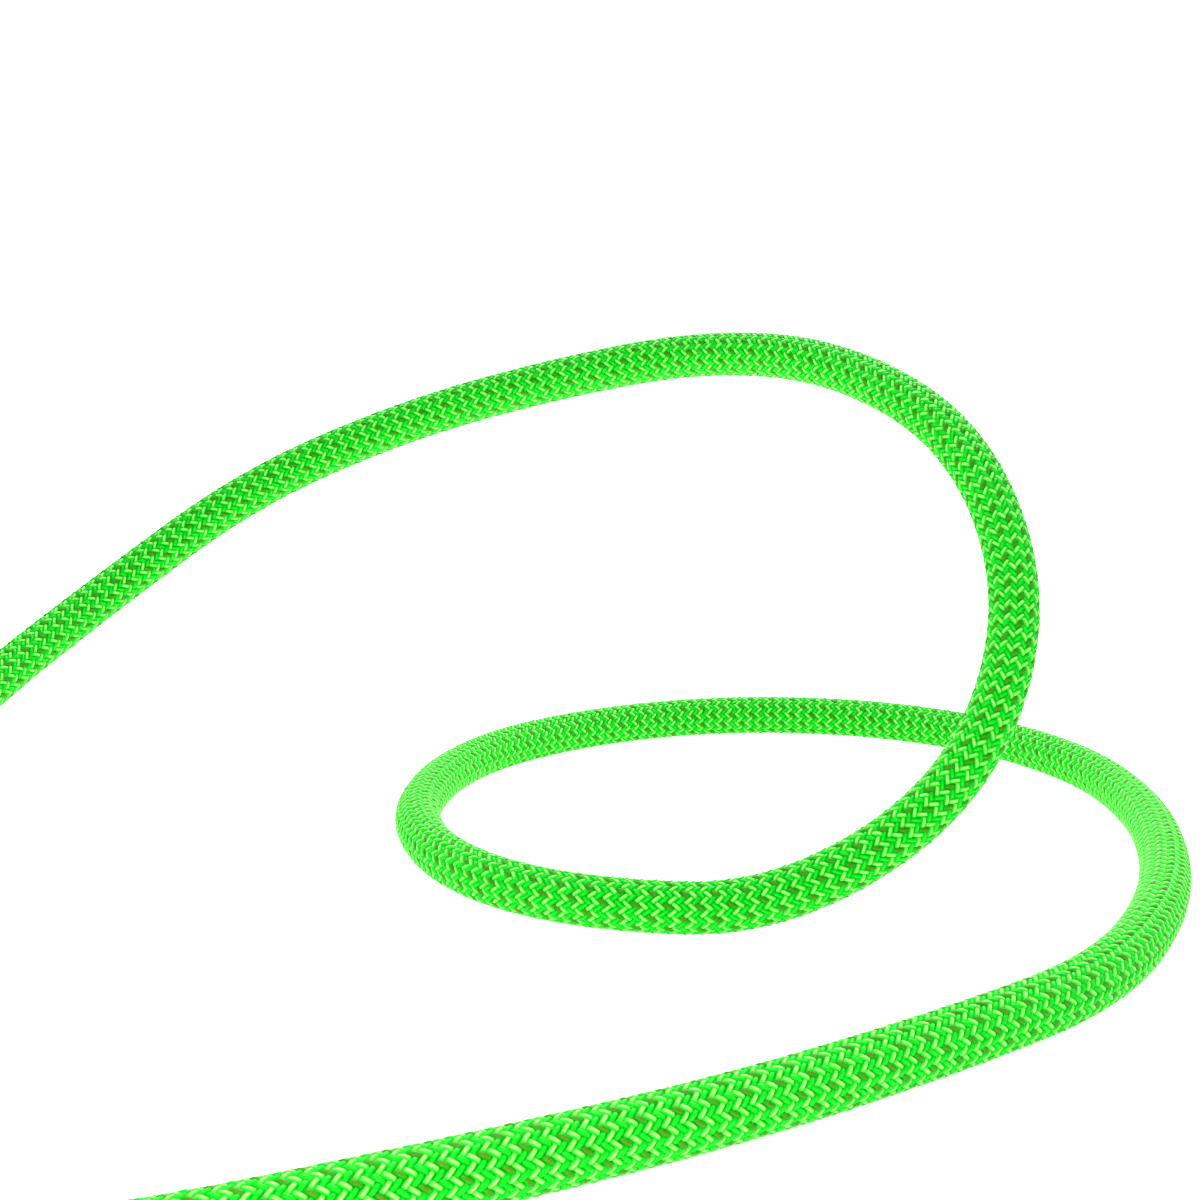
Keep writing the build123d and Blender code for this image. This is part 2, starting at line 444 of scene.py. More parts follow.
def yarn_material(name):
    """One colour's floats: crown, flanks and sunk ends, with a painted highlight on the crowns of light and
    green yarns and painted shade on their flanks and sunk ends, fine filaments along them, slightly varied
    colour and a painted glow.
    """
    crown, flank, blotch, glow = YARN_COLOURS[name]
    n = Nodes(f"yarn_{name}", 0.5, Specular_IOR_Level=0.12)
    along, across = n.uv()
    filaments = n.noise(n.vector(n.math("MULTIPLY", along, 0.5), n.math("MULTIPLY", across, 4.0)), 1.6, 3.0)
    patches = n.noise(n.place(), 420.0, 1.0)
    from_start = n.math("FLOORED_MODULO", n.math("ADD", along, FLOAT_APART / 2), FLOAT_APART)
    lengthwise = n.math("SUBTRACT", from_start, FLOAT_APART / 2)
    aside = n.band(n.math("ABSOLUTE", across), 0.14, 0.72)
    sunk_end = n.band(n.math("ABSOLUTE", lengthwise), *CROWN_ENDS[name])
    off_crown = n.math("MAXIMUM", aside, sunk_end)
    # Crown colour on the float's top, flank colour down its sides and at its sunk ends: painted highlight and
    # painted shade.
    coloured = n.mix(off_crown, crown, flank)
    coloured = n.mix(n.band(filaments, 0.35, 0.75, 0.0, 0.4), coloured, flank)
    coloured = n.mix(n.band(patches, 0.45, 0.8, 0.0, 0.45), coloured, blotch)
    n.colour(coloured)
    n.roughness(n.band(filaments, 0.3, 0.7, 0.38, 0.6))
    # Painted glow: the floats emit their own colour, though they are no lamp.
    n.shader.inputs["Emission Strength"].default_value = glow
    n.put(n.shader.inputs["Emission Color"], coloured)
    n.bump(filaments, 0.05 * MM)
    return n.material


def under_material():
    """The yarns beneath, seen in the gaps of the braid, in a dark green of painted shade."""
    n = Nodes("under_braid", 0.7, Specular_IOR_Level=0.12)
    patches = n.noise(n.place(), 900.0, 2.0)
    n.colour(n.mix(patches, SHADED_UNDER, (0.01, 0.36, 0.01, 1)))
    n.bump(patches, 0.1 * MM)
    return n.material


def braid_material():
    """The same braid for the turns of the coil, from how far along and round the rope a point is, with the
    floats' painted highlight and shade, painted shade in the gaps and a painted glow.
    """
    n = Nodes("coil_braid", 0.5, Specular_IOR_Level=0.12)
    along, around = n.uv()
    x = n.math("MULTIPLY", n.math("SUBTRACT", around, along), 0.5)
    y = n.math("MULTIPLY", n.math("ADD", around, along), 0.5)
    yarn_x, yarn_y = n.math("ROUND", x), n.math("ROUND", y)
    off_x, off_y = n.math("SUBTRACT", x, yarn_x), n.math("SUBTRACT", y, yarn_y)
    order = n.math("FLOORED_MODULO", n.math("ADD", yarn_x, yarn_y), 4.0)
    first_over = n.math("LESS_THAN", order, 1.5)
    second_cell = n.math("GREATER_THAN", n.math("FLOORED_MODULO", order, 2.0), 0.5)
    shift = n.math("SUBTRACT", second_cell, 0.5)

    def choose(if_first, if_second):
        node = n.node("ShaderNodeMix", data_type="FLOAT")
        n.put(node.inputs[0], first_over)
        n.put(node.inputs[2], if_second)
        n.put(node.inputs[3], if_first)
        return node.outputs[0]

    across = n.math("ABSOLUTE", choose(off_x, off_y))
    lengthwise = n.math("ABSOLUTE", n.math("ADD", choose(off_y, off_x), shift))
    side = n.math("SUBTRACT", 1.0, n.math("POWER", n.math("MULTIPLY", across, 2.0), 2.5))
    end = n.math("SUBTRACT", 1.0, n.math("POWER", lengthwise, 3.0))
    height = n.math("MINIMUM", side, end)
    number = choose(n.math("FLOORED_MODULO", yarn_x, 4.0), n.math("FLOORED_MODULO", yarn_y, 2.0))
    light = n.math("LESS_THAN", n.math("FLOORED_MODULO", number, 2.0), 0.5)
    olive = n.math("GREATER_THAN", number, 2.5)
    patches = n.noise(n.place(), 420.0, 1.0)
    tones = []
    for tone in range(3):
        two = n.mix(light, YARN_COLOURS["green"][tone], YARN_COLOURS["light"][tone])
        tones.append(n.mix(olive, two, YARN_COLOURS["olive"][tone]))
    crown, flank, blotch = tones
    # Painted highlight on the crowns of light and green yarns, painted shade on their flanks and float ends.
    off_crown = n.math("MAXIMUM", n.band(across, 0.07, 0.36), n.band(lengthwise, 0.5, 0.95))
    coloured = n.mix(off_crown, crown, flank)
    coloured = n.mix(n.band(patches, 0.45, 0.8, 0.0, 0.45), coloured, blotch)
    # Painted shade: where the braid is low, between the floats, it turns to the dark under colour.
    coloured = n.mix(n.band(height, 0.0, 0.35), SHADED_UNDER, coloured)
    n.colour(coloured)
    # Painted glow: the coil's braid emits its own colour, though it is no lamp.
    n.shader.inputs["Emission Strength"].default_value = YARN_COLOURS["green"][3]
    n.put(n.shader.inputs["Emission Color"], coloured)
    n.bump(height, 0.42 * MM)
    return n.material


def band_material():
    """Shrunk-on plastic sleeve."""
    n = Nodes("shrunk_sleeve", 0.42, Specular_IOR_Level=0.22)
    grain = n.noise(n.place(), 1800.0, 3.0)
    smears = n.noise(n.place(), 160.0, 2.0)
    n.colour(n.mix(smears, (0.006, 0.0065, 0.007, 1), (0.018, 0.018, 0.020, 1)))
    n.roughness(n.band(smears, 0.3, 0.7, 0.32, 0.55))
    n.bump(grain, 0.03 * MM)
    return n.material


def tip_material():
    """Sheath and core melted into one cap."""
    n = Nodes("melted_tip", 0.35, Specular_IOR_Level=0.3)
    streaks = n.noise(n.place(), 520.0, 3.0, 0.6)
    burnt = n.noise(n.place(), 230.0, 2.0)
    coloured = n.mix(n.band(streaks, 0.35, 0.65), (0.005, 0.16, 0.004, 1), (0.08, 0.24, 0.012, 1))
    n.colour(n.mix(n.band(burnt, 0.55, 0.75, 0.0, 0.7), coloured, (0.035, 0.045, 0.006, 1)))
    n.roughness(n.band(burnt, 0.3, 0.7, 0.30, 0.50))
    n.bump(streaks, 0.12 * MM)
    return n.material


def core_material():
    """Raw white cabled strand, from how far along and round the strand a point is."""
    n = Nodes("cabled_core", 0.6, Sheen_Weight=0.3)
    along, around = n.uv()
    ply = n.math("SINE", n.math("ADD", n.math("MULTIPLY", along, 1400.0), n.math("MULTIPLY", around, 3.0)))
    fibres = n.noise(n.place(), 2500.0, 2.0)
    n.colour(n.mix(n.band(fibres, 0.3, 0.7), (0.78, 0.78, 0.74, 1), (0.93, 0.93, 0.90, 1)))
    n.bump(n.math("ADD", ply, fibres), 0.1 * MM)
    return n.material


def tape_material():
    """Thin plain film."""
    n = Nodes("marker_film", 0.25)
    folds = n.noise(n.place(), 700.0, 1.0)
    n.colour(n.mix(folds, (0.80, 0.50, 0.04, 1), (0.95, 0.72, 0.12, 1)))
    n.bump(folds, 0.05 * MM)
    return n.material


def webbing_material():
    """Flat woven webbing, from how far along and across the strap a point is, in millimetres, with painted
    shade in the grooves of its weave.
    """
    n = Nodes("tie_webbing", 0.75, Sheen_Weight=0.08, Specular_IOR_Level=0.25)
    along, across = n.uv()
    ribs = n.math("MULTIPLY", across, 1 / 1.1)
    number = n.math("FLOOR", ribs)
    rib = n.math("ABSOLUTE", n.math("SINE", n.math("MULTIPLY", ribs, math.pi)))
    shifted = n.math("ADD", n.math("MULTIPLY", along, 1 / 1.5), n.math("MULTIPLY", number, 0.5))
    pick = n.math("ABSOLUTE", n.math("SINE", n.math("MULTIPLY", shifted, math.pi)))
    height = n.math("MULTIPLY", n.math("POWER", rib, 0.6), n.math("POWER", pick, 0.5))
    worn = n.noise(n.place(), 90.0, 3.0)
    threads = n.noise(n.place(), 2400.0, 2.0)
    # Painted shade: darker where the weave is low, lighter on its raised ribs and picks.
    coloured = n.mix(n.band(height, 0.1, 0.9), (0.005, 0.0055, 0.006, 1), (0.030, 0.032, 0.036, 1))
    coloured = n.mix(n.band(worn, 0.5, 0.8, 0.0, 0.3), coloured, (0.07, 0.07, 0.07, 1))
    n.colour(coloured)
    n.roughness(n.band(threads, 0.3, 0.7, 0.65, 0.85))
    n.bump(n.math("ADD", height, n.math("MULTIPLY", threads, 0.25)), 0.28 * MM)
    return n.material


def pad_material():
    """Loop side of a hook-and-loop pad, with painted shade in the hollows between its loops."""
    n = Nodes("tie_pad", 0.9, Sheen_Weight=0.15, Specular_IOR_Level=0.2)
    loops = n.node("ShaderNodeTexVoronoi", feature="F1")
    n.put(loops.inputs["Vector"], n.place())
    loops.inputs["Scale"].default_value = 1500.0
    fuzz = n.noise(n.place(), 3200.0, 3.0)
    height = n.math("SUBTRACT", fuzz, loops.outputs["Distance"])
    # Painted shade: darker where the loops and fuzz are low, lighter where they stand up.
    n.colour(n.mix(n.band(height, -0.4, 0.6), (0.008, 0.008, 0.010, 1), (0.055, 0.055, 0.062, 1)))
    n.bump(height, 0.2 * MM)
    return n.material


def thread_material():
    """Sewing thread."""
    n = Nodes("tie_thread", 0.55)
    twist = n.noise(n.place(), 4000.0, 1.0)
    n.colour(n.mix(twist, (0.10, 0.42, 0.02, 1), (0.22, 0.70, 0.05, 1)))
    n.bump(twist, 0.05 * MM)
    return n.material


def floor_material():
    """Pale matt floor under strong, even studio light."""
    n = Nodes("floor", 0.9)
    soft = n.noise(n.place(), 30.0, 2.0)
    n.colour(n.mix(soft, (0.93, 0.93, 0.93, 1), (0.96, 0.96, 0.96, 1)))
    n.shader.inputs["Emission Color"].default_value = (1, 1, 1, 1)
    n.shader.inputs["Emission Strength"].default_value = 0.90
    return n.material


# ---- The rope's line, and where along it the braid is laid yarn by yarn --------------------------
loose = [Vector(point) * MM for point in ROUTE]
LINE_STEPS = 20                 # samples from one control point to the next
SEARCHED = 60 * LINE_STEPS      # samples past the loose stretch, but less than a turn into the coil
RING_EVERY = 4                  # samples from one ring of the body to the next
RING_POINTS = 14
rope_line = Line(sampled(loose + coil_points() + tail_points(), LINE_STEPS))
loose_ends = np.argmin(np.linalg.norm(rope_line.points[:SEARCHED] - np.array(loose[-1]), axis=1))
from_centre = rope_line.points - np.array(COIL_CENTRE)
turned = -np.unwrap(np.arctan2(from_centre[loose_ends:, 1], from_centre[loose_ends:, 0]))
turned += LEAD_ANGLE
turned_s = rope_line.s[loose_ends:]
to_strap = (LEAD_ANGLE - TIE_ANGLES[1]) % (2 * math.pi)
lead_hides = float(np.interp(to_strap, turned, turned_s))
tail_shows = float(np.interp(to_strap + 2 * math.pi * (len(SLOTS) - 1), turned, turned_s))
tail_leaves = float(np.interp(WOUND, turned, turned_s))
print("rope", round(rope_line.length, 3), "m, loose until", round(float(rope_line.s[loose_ends]), 3),
      "m, yarn by yarn until", round(lead_hides, 3), "m and from", round(tail_shows, 3), "m")

# ---- The rope's body: one tube, sunk under the yarns where they are modelled ---------------------
centres = rope_line.points[::RING_EVERY]
ring_s = rope_line.s[::RING_EVERY]
if len(rope_line.points) % RING_EVERY != 1:
    centres = np.concatenate([centres, rope_line.points[-1:]])
    ring_s = np.append(ring_s, rope_line.length)
sunk = (ring_s < lead_hides) | (ring_s > tail_shows)
angles = np.arange(RING_POINTS) * 2 * math.pi / RING_POINTS
ring_s_grid, angle_grid = np.meshgrid(ring_s, angles, indexing="ij")
radius_grid = np.where(sunk[:, None], UNDER_R, ROPE_R) * np.ones_like(angle_grid)
body_points, body_faces = tube(rope_line.surface(ring_s_grid, angle_grid, radius_grid))
quads = body_faces[0]
rows = quads // RING_POINTS
columns = quads % RING_POINTS
wrapped = (columns == 0) & (columns.max(1) == RING_POINTS - 1)[:, None]
body_uv = np.stack([ring_s[rows] / STEP_S, (columns + RING_POINTS * wrapped) * (2 * YARNS / RING_POINTS)], -1)
body_uv = np.concatenate([body_uv.reshape(-1, 2), np.zeros((body_faces[1].size, 2))])
under = sunk[rows[:, 0]] & sunk[rows.max(1)]
part = np.concatenate([np.where(under, 0, 1), np.zeros(len(body_faces[1]))])
rope = mesh_object("rope", body_points, body_faces, body_uv, part)
piece(rope, "sheath", [under_material(), braid_material()], "sheath_loose", "coil", "sheath_tail")

# ---- The yarns' floats ---------------------------------------------------------------------------
ALONG = np.array([-1.3, -0.8, 0.0, 0.8, 1.3])               # steps along a float
ALONG_DROP = np.array([-0.55, -0.11, 0.0, -0.11, -0.55]) * MM
ACROSS = np.array([-1.05, -0.62, 0.0, 0.62, 1.05])          # half widths across it
ACROSS_DROP = np.array([-0.58, -0.11, 0.0, -0.11, -0.58]) * MM
WIDE_SPREAD = 0.03                                           # how floats differ: in width, a share of it
RISE_SPREAD, SLIDE_SPREAD = 0.02, 0.025                      # upwards and aside, mm
END_NARROWS = 0.10                                           # a float's ends are narrower by this share
OFFSETS = 997                                                # after so many floats the UV offsets start again
LARGEST_PIECE = 6200                                         # floats in one piece


def float_places(spans):
    """Every float's distance along the rope, angle, direction (1 or -1) and place in YARN_COLOURS."""
    found = []
    for low, high in spans:
        for k in range(YARNS // 2):
            at = (4 * k + 0.5) * STEP_S
            i = np.arange(math.ceil((at - high) / (2 * STEP_S)), math.floor((at - low) / (2 * STEP_S)) + 1)
            colour = np.array([0, 1, 0, 2])[i % 4]
            found.append(np.stack([at - 2 * i * STEP_S, np.full(len(i), (4 * k + 0.5) * STEP_A),
                                   np.ones(len(i)), colour], -1))
            at = -(4 * k + 2.5) * STEP_S
            j = np.arange(math.ceil((low - at) / (2 * STEP_S)), math.floor((high - at) / (2 * STEP_S)) + 1)
            found.append(np.stack([at + 2 * j * STEP_S, np.full(len(j), (4 * k + 2.5) * STEP_A),
                                   -np.ones(len(j)), j % 2], -1))
    return np.concatenate(found)


def float_meshes(name, places, material):
    """Pieces of at most LARGEST_PIECE floats, each float a small curved sheet that dips at its ends."""
    made = []
    places = places[np.argsort(places[:, 0])]
    count = math.ceil(len(places) / LARGEST_PIECE)
    run = np.array([STEP_S, ROPE_R * STEP_A])
    run_length = np.linalg.norm(run)
    for number, part in enumerate(np.array_split(places, count)):
        n = len(part)
        wide = 1 + rng.normal(0, WIDE_SPREAD, n)
        rise = rng.normal(0, RISE_SPREAD, n) * MM
        slide = rng.normal(0, SLIDE_SPREAD, n) * MM
        t = ALONG[None, :, None] * run_length
        v = (ACROSS[None, None, :] * YARN_HALF_W) * wide[:, None, None] + slide[:, None, None]
        v = v * (1 - END_NARROWS * (np.abs(ALONG) > 1)[None, :, None])
        way = part[:, 2][:, None, None]
        s = part[:, 0][:, None, None] + (t * run[0] - v * run[1] * way) / run_length
        angle = part[:, 1][:, None, None] + (t * run[1] * way + v * run[0]) / run_length / ROPE_R
        radius = YARN_TOP_R + ALONG_DROP[None, :, None] + ACROSS_DROP[None, None, :] + rise[:, None, None]
        s, angle, radius = np.broadcast_arrays(s, angle, radius)
        points = rope_line.surface(s, angle, radius).reshape(-1, 3)
        grid = grid_faces(len(ALONG), len(ACROSS), False)
        faces = (grid[None] + (np.arange(n) * ALONG.size * ACROSS.size)[:, None, None])
        faces = np.where(part[:, 2][:, None, None] > 0, faces, faces[:, :, ::-1])
        inside = faces % (ALONG.size * ACROSS.size)
        offset = FLOAT_APART * (np.arange(n) % OFFSETS)
        uv_along = ALONG[inside // ACROSS.size] + offset[:, None, None]
        uv = np.stack([uv_along, ACROSS[inside % ACROSS.size]], -1)
        thing = mesh_object(f"{name}_{number + 1}", points, faces.reshape(-1, 4), uv.reshape(-1, 2))
        made.append(piece(thing, "sheath", [material]))
    return made


TIP_BARE = 0.6 * MM             # no float begins so near a fused tip
BAND_LAP = 1.0 * MM             # floats go this far under a band
places = float_places([
    (TIP_BARE, BAND_FROM),
    (BAND_TO - BAND_LAP, lead_hides),
    (tail_shows, rope_line.length - BAND_TO + BAND_LAP),
    (rope_line.length - BAND_FROM, rope_line.length - TIP_BARE),
])
yarns = []
for number, name in enumerate(YARN_COLOURS):
    yarns += float_meshes(f"yarn_{name}", places[places[:, 3] == number], yarn_material(name))
print("floats", len(places), "pieces", [(thing.name, len(thing.data.polygons)) for thing in yarns])


# ---- End bands and fused tips --------------------------------------------------------------------
BAND_EDGE = [(0.0, 4.35), (0.0, 4.75), (0.12, 4.90), (0.4, 4.97)]   # distance from the edge and radius, mm
BAND_ROWS, BAND_COLUMNS = 40, 48
BAND_UNEVEN = 0.05              # mm
FULL_R = 4.8                    # mm: bands are uneven beyond this radius, and tips' dents are full size at it
TIP_PROFILE = [                 # distance past the sheath's end and radius, mm
    (-1.2, 4.3), (-0.5, 4.62), (0.0, 4.80), (0.6, 4.90), (1.3, 4.86), (1.9, 4.66), (2.4, 4.30),
    (2.8, 3.70), (3.05, 2.90), (3.15, 1.90), (3.2, 0.90),
]
TIP_COLUMNS = 40
TIP_SHRINK = 0.12               # mm


def end_band(name, first, last, node):
    """A sleeve shrunk on the sheath, its edges turned in and its surface showing the braid a little."""
    length = (last - first) / MM
    edge_l, face_r = BAND_EDGE[-1]
    inner = np.linspace(edge_l, length - edge_l, BAND_ROWS)[1:-1]
    rows = BAND_EDGE + [(x, face_r) for x in inner] + [(length - x, r) for x, r in reversed(BAND_EDGE)]
    angle = np.arange(BAND_COLUMNS) * 2 * math.pi / BAND_COLUMNS
    s, angles = np.meshgrid(first + np.array([x for x, _ in rows]) * MM, angle, indexing="ij")
    radius = np.array([r for _, r in rows])[:, None] * MM * np.ones_like(angles)
    one_way = np.cos((angles / STEP_A + s / STEP_S) * math.pi / 2)
    other_way = np.cos((angles / STEP_A - s / STEP_S) * math.pi / 2)
    shrink = BAND_UNEVEN * np.sin(3 * angles + s / MM * 0.7) + BAND_UNEVEN * (one_way * other_way)
    radius = radius + shrink * MM * (radius > FULL_R * MM)
    points, faces = tube(rope_line.surface(s, angles, radius))
    return piece(mesh_object(name, points, faces), "end_band", [sleeve], node)


def fused_tip(name, end, way, node):
    """The end of the rope, melted and pressed: a cap with soft dents."""
    angle = np.arange(TIP_COLUMNS) * 2 * math.pi / TIP_COLUMNS
    out, angles = np.meshgrid(np.array([x for x, _ in TIP_PROFILE]), angle, indexing="ij")
    radius = np.array([r for _, r in TIP_PROFILE])[:, None] * np.ones_like(angles)
    a, b, c = rng.uniform(0, 2 * math.pi, 3)
    dents = 0.10 * np.sin(3 * angles + a) + 0.08 * np.sin(5 * angles + b)
    dents = dents + 0.05 * np.sin(9 * angles + c + out)
    radius = (radius + dents * radius / FULL_R - TIP_SHRINK) * MM
    sunk = 0.18 * np.sin(2 * angles + c) * (radius / ROPE_R) * (out > 2)
    place, along, side, up = rope_line.at(np.full(out.shape, end))
    points = place + along * ((out + sunk) * way * MM)[..., None]
    points = points + (np.cos(angles) * radius)[..., None] * side + (np.sin(angles) * radius)[..., None] * up
    points, faces = tube(points)
    if way < 0:
        faces = [f[:, ::-1] for f in faces]
    return piece(mesh_object(name, points, faces), "fused_tip", [melted], node)


sleeve, melted = band_material(), tip_material()
ends = [
    end_band("end_band_loose", BAND_FROM, BAND_TO, "end_band_a"),
    fused_tip("fused_tip_loose", 0.0, -1, "fused_tip_a"),
    end_band("end_band_tail", rope_line.length - BAND_TO, rope_line.length - BAND_FROM, "end_band_b"),
    fused_tip("fused_tip_tail", rope_line.length, 1, "fused_tip_b"),
]

# ---- Core strands and marker tape, inside the loose stretch and the tail -------------------------
CORE_STEP = 3 * MM
CORE_SIDES = 10
CORE_SHORT = 0.2 * MM           # the core ends this far inside the sheath
core_spans = [(CORE_SHORT, float(rope_line.s[loose_ends])), (tail_leaves, rope_line.length - CORE_SHORT)]


def cored(name, shape, slot, material, *nodes):
    """A piece inside both uncoiled stretches. shape gives a point's two distances from the rope's line."""
    all_points, all_faces, all_uv, first = [], [[], []], [], 0
    for low, high in core_spans:
        s = np.linspace(low, high, round((high - low) / CORE_STEP))
        around = np.arange(CORE_SIDES) * 2 * math.pi / CORE_SIDES
        s_grid, around_grid = np.meshgrid(s, around, indexing="ij")
        across, upward = shape(s_grid, around_grid)
        place, _, side, up = rope_line.at(s_grid)
        points, faces = tube(place + across[..., None] * side + upward[..., None] * up)
        all_uv.append((s_grid.ravel()[faces[0] % s_grid.size], around_grid.ravel()[faces[0] % s_grid.size]))
        all_points.append(points)
        for kind in range(2):
            all_faces[kind].append(faces[kind] + first)
        first += len(points)
    faces = [np.concatenate(kind) for kind in all_faces]
    tube_uv = [np.stack(pair, -1).reshape(-1, 2) for pair in all_uv]
    uv = np.concatenate(tube_uv + [np.zeros((faces[1].size, 2))])
    return piece(mesh_object(name, np.concatenate(all_points), faces, uv), slot, [material], *nodes)


def twisted(start):
    def shape(s, around):
        angle = start + 2 * math.pi * s / STRAND_PITCH
        return (STRAND_RING_R * np.cos(angle) + STRAND_R * np.cos(around),
                STRAND_RING_R * np.sin(angle) + STRAND_R * np.sin(around))
    return shape


def centre_strand(s, around):
    return STRAND_R * np.cos(around), STRAND_R * np.sin(around) - CENTRE_SHIFT


def tape_shape(s, around):
    flat = np.sign(np.cos(around)) * np.abs(np.cos(around)) ** 0.4 * TAPE_W / 2
    return flat, TAPE_SHIFT + np.sin(around) * TAPE_T / 2


white, film = core_material(), tape_material()
core = [
    cored(f"strand_{number + 1}", twisted(2 * math.pi * number / OUTER_STRANDS), "core", white,
          f"core_strand_{number + 1}")
    for number in range(OUTER_STRANDS)
]
core.append(cored("strand_centre", centre_strand, "core", white, "core_strand_centre", "core_tail"))
tape = cored("marker_film", tape_shape, "marker_tape", film, "marker_tape")


# ---- Ties: a webbing strap drawn tight round the pile, and the pad that closes it ----------------
def pile_section(tie):
    """Where the turns cross the strap's plane: distance from the coil's centre, and height."""
    wound = (rope_line.s > lead_hides - 60 * MM) & (rope_line.s < tail_leaves)
    out = from_centre[:, 0] * math.cos(tie) + from_centre[:, 1] * math.sin(tie)
    past = from_centre[:, 1] * math.cos(tie) - from_centre[:, 0] * math.sin(tie)
    crosses = wound[:-1] & wound[1:] & (past[:-1] * past[1:] <= 0) & (out[:-1] > 0)
    return np.stack([out[:-1][crosses], from_centre[:-1, 2][crosses]], -1)


def tight_outline(section, gap):
    """The line drawn tight round all turns, this far from their centres, and its outward normals."""
    angle = np.linspace(0, 2 * math.pi, 180, endpoint=False)
    outward = np.stack([np.cos(angle), np.sin(angle)], -1)
    touched = section[np.argmax(section @ outward.T, axis=0)]
    line = touched + outward * gap
    runs = np.linalg.norm(np.roll(line, -1, 0) - line, axis=1)
    points, normals = [], []
    for i in range(len(line)):
        k = (i + 1) % len(line)
        pieces = max(1, round(runs[i] / (4 * MM)))
        for step in range(pieces):
            share = step / pieces
            points.append(line[i] * (1 - share) + line[k] * share)
            normals.append(outward[i] * (1 - share) + outward[k] * share)
    return np.array(points), unit(np.array(normals))


def bent_round(tie, out, across, height):
    """A point of a tie: its distance from the coil's axis, its distance across the strap, and its height."""
    angle = tie + across / out
    return np.stack([COIL_CENTRE.x + out * np.cos(angle), COIL_CENTRE.y + out * np.sin(angle), height], -1)


def strap(number, tie, section):
    """A woven strap with rolled edges."""
    line, normals = tight_outline(section, ROPE_R + STRAP_CLEAR)
    half = STRAP_HALF_W
    over = np.linspace(-half + 0.7 * MM, half - 0.7 * MM, 19)
    ribs = STRAP_T * (1 - 0.06 * (np.arange(19) % 2))
    edge_w = np.array([half - 0.2 * MM, half, half - 0.15 * MM])
    edge_h = np.array([STRAP_T * 0.92, STRAP_T * 0.5, STRAP_T * 0.08])
    across = np.concatenate([over, edge_w, over[::-3], -edge_w[::-1]])
    rise = np.concatenate([ribs, edge_h, np.zeros(len(over[::-3])), edge_h[::-1]])
    out = line[:, 0][:, None] + normals[:, 0][:, None] * rise[None]
    height = np.maximum(line[:, 1][:, None] + normals[:, 1][:, None] * rise[None], 0.0)
    points = bent_round(tie, out, across[None] * np.ones_like(out), height)
    rows, columns = out.shape
    i, j = np.meshgrid(np.arange(rows), np.arange(columns), indexing="ij")
    i_next, j_next = (i + 1) % rows, (j + 1) % columns
    corners = [i * columns + j, i * columns + j_next, i_next * columns + j_next, i_next * columns + j]
    faces = np.stack(corners, -1).reshape(-1, 4)
    distance = np.concatenate([[0], np.cumsum(np.linalg.norm(np.diff(line, axis=0), axis=1))]) / MM
    total = distance[-1] + np.linalg.norm(line[0] - line[-1]) / MM
    far = np.append(distance, total)
    u = np.stack([far[i], far[i], far[i + 1], far[i + 1]], -1)
    w = across / MM + 10
    v = np.stack([w[j], w[j_next], w[j_next], w[j]], -1)
    uv = np.stack([u, v], -1).reshape(-1, 2)
    thing = mesh_object(f"webbing_{number}", points.reshape(-1, 3), faces, uv)
    return piece(thing, "tie_webbing", [webbing], f"tie_strap_{number}")


def rounded_outline(half_l, half_w, corner, count):
    """A rounded rectangle, evenly spaced round its edge."""
    fine = []
    for cx, cy, start in ((1, 1, 0), (-1, 1, 90), (-1, -1, 180), (1, -1, 270)):
        for degrees in range(0, 91, 10):
            angle = math.radians(start + degrees)
            fine.append((cx * (half_l - corner) + corner * math.cos(angle),
                         cy * (half_w - corner) + corner * math.sin(angle)))
    fine = np.array(fine + fine[:1])
    far = np.concatenate([[0], np.cumsum(np.linalg.norm(np.diff(fine, axis=0), axis=1))])
    at = np.linspace(0, far[-1], count, endpoint=False)
    return np.stack([np.interp(at, far, fine[:, axis]) for axis in range(2)], -1), far[-1]


PAD_PROFILE = (                 # share of the outline, and height over the strap in mm
    (1.0, -0.1), (1.0, 0.35), (0.997, 0.8), (0.985, 1.15), (0.965, 1.34), (0.93, 1.42), (0.88, 1.36),
    (0.80, 1.44), (0.5, 1.50), (0.2, 1.52),
)
STITCH = (                      # share of a stitch's length, half its thickness and its height, mm
    (0.10, 0.16, 1.30), (0.22, 0.26, 1.46), (0.5, 0.29, 1.58), (0.78, 0.26, 1.46), (0.90, 0.16, 1.30),
)


